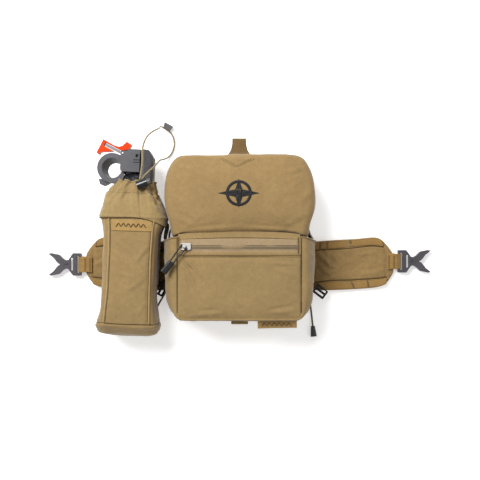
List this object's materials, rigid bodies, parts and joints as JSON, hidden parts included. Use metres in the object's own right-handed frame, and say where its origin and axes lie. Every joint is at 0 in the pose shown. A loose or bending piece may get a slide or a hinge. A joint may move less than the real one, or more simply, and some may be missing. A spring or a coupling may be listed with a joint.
{
  "type": "binocular harness pack",
  "caption": "Padded chest pack with a hinged hood lid, zipped front pocket, side wings with release buckles, and a drawcord pouch holding a trigger spray canister.",
  "frame": {"origin": "centre of the back panel's flat face, which lies on the wearer's chest or on a table", "axes": "+X to the right seen from the front, +Y towards the lid's upper edge, +Z out of the front"},
  "size_m": [0.494, 0.2774, 0.0983],
  "materials": {
    "pack_fabric": "coated woven nylon, matt",
    "wing_fabric": "soft woven nylon, slightly wrinkled",
    "webbing": "ribbed woven webbing",
    "label": "woven label with a hemmed edge",
    "embroidery": "satin-stitch thread",
    "lining": "brushed lining over foam",
    "zipper_tape": "coated zipper tape",
    "zipper_teeth": "moulded coil",
    "slider_metal": "polished die cast",
    "pull_black": "braided cord and moulded grip",
    "buckle_plastic": "textured acetal",
    "adjuster_black": "textured acetal",
    "shock_cord": "braided elastic cord",
    "cord_end_plastic": "moulded, fine texture",
    "magnet": "nickel plated",
    "collar_fabric": "light gathered nylon",
    "can_metal": "black lacquer",
    "can_dome_black": "glossy",
    "housing_grey": "fine spark-eroded texture",
    "nozzle_black": "smooth",
    "lever_grey": "smooth",
    "pin_steel": "ground",
    "safety_orange": "bright moulded",
    "lock_black": "moulded",
    "plunger_grey": "moulded"
  },
  "bodies": {
    "pack": {"back_panel": "lining", "main_shell": "pack_fabric", "liner_back_pad": "lining", "liner_base_pad": "lining", "front_pocket_shell": "pack_fabric", "zipper_tape": "zipper_tape", "zipper_teeth": "zipper_teeth", "harness_loops": "webbing", "pack_label": "label", "bottom_loop": "webbing", "rim_magnets": "magnet", "side_pocket_right": "pack_fabric", "side_pocket_left": "pack_fabric", "wing_anchor_right": "wing_fabric", "wing_anchor_left": "wing_fabric", "lid_cord_right": "shock_cord", "lid_cord_left": "shock_cord", "side_cord_right": "shock_cord", "cord_end_right": "cord_end_plastic"},
    "lid": {"lid_shell": "pack_fabric", "lid_liner": "lining", "lid_pull_tab": "webbing", "lid_emblem": "embroidery", "lid_magnets": "magnet"},
    "slider": {"zipper_slider": "slider_metal"},
    "zip_pull": {"zip_pull_cord": "pull_black", "zip_pull_grip": "pull_black"},
    "wing_right": {"wing_pad_right": "wing_fabric", "wing_webbing_upper_right": "webbing", "wing_webbing_lower_right": "webbing", "wing_tab_right": "webbing", "adjuster_right": "adjuster_black"},
    "buckle_right": {"buckle_right": "buckle_plastic"},
    "wing_left": {"wing_pad_left": "wing_fabric", "wing_webbing_upper_left": "webbing", "wing_webbing_lower_left": "webbing", "wing_tab_left": "webbing", "adjuster_left": "adjuster_black", "pouch_shell": "pack_fabric", "pouch_base": "pack_fabric", "pouch_collar": "collar_fabric", "pouch_label": "label", "pouch_mount_panel": "lining", "cord_lock_body": "lock_black", "drawcord_loop": "shock_cord", "loop_toggle": "cord_end_plastic", "side_cord_left": "shock_cord", "cord_end_left": "cord_end_plastic"},
    "buckle_left": {"buckle_left": "buckle_plastic"},
    "canister": {"can_body": "can_metal", "can_dome": "can_dome_black", "actuator_housing": "housing_grey", "spray_nozzle": "nozzle_black", "trigger_pin": "pin_steel"},
    "trigger": {"trigger_lever": "lever_grey"},
    "clip": {"safety_clip": "safety_orange"},
    "lock_button": {"cord_lock_plunger": "plunger_grey"}
  },
  "joints": [
    {"name": "lid_hinge", "type": "hinge", "parent": "pack", "child": "lid", "pos_m": [0, 0.00875, 0.084], "axis": [1, 0, 0], "range_deg": [0, 110]},
    {"name": "zipper_slide", "type": "slide", "parent": "pack", "child": "slider", "axis": [1, 0, 0], "range_m": [0, 0.13]},
    {"name": "zip_pull_swing", "type": "hinge", "parent": "slider", "child": "zip_pull", "pos_m": [-0.0665, -0.0073, 0.096], "axis": [-0.7848, 0.6198, 0], "range_deg": [0, 70]},
    {"name": "wing_right_fold", "type": "hinge", "parent": "pack", "child": "wing_right", "pos_m": [0.097, -0.03, 0.006], "axis": [0, -1, 0], "range_deg": [-50, 60]},
    {"name": "wing_left_fold", "type": "hinge", "parent": "pack", "child": "wing_left", "pos_m": [-0.097, -0.03, 0.006], "axis": [0, 1, 0], "range_deg": [-50, 0]},
    {"name": "buckle_right_swivel", "type": "hinge", "parent": "wing_right", "child": "buckle_right", "pos_m": [0.206, -0.0275, 0.0063], "axis": [0, -1, 0], "range_deg": [-70, 70]},
    {"name": "buckle_left_swivel", "type": "hinge", "parent": "wing_left", "child": "buckle_left", "pos_m": [-0.206, -0.0315, 0.0063], "axis": [0, 1, 0], "range_deg": [-70, 70]},
    {"name": "canister_slide", "type": "slide", "parent": "wing_left", "child": "canister", "axis": [0.0436, 0.999, 0], "range_m": [0, 0.185]},
    {"name": "trigger_press", "type": "hinge", "parent": "canister", "child": "trigger", "pos_m": [-0.14435, 0.10775, 0.048], "axis": [0, 0, 1], "range_deg": [0, 6], "stiffness_Nm_per_rad": 0.4, "springref_deg": -2.86},
    {"name": "safety_clip_slide", "type": "slide", "parent": "trigger", "child": "clip", "axis": [-0.887, 0.4618, 0], "range_m": [0, 0.032]},
    {"name": "cord_lock_press", "type": "slide", "parent": "wing_left", "child": "lock_button", "axis": [-0.9272, -0.3746, 0], "range_m": [0, 0.003], "stiffness_N_per_m": 400, "springref_m": -0.002}
  ]
}
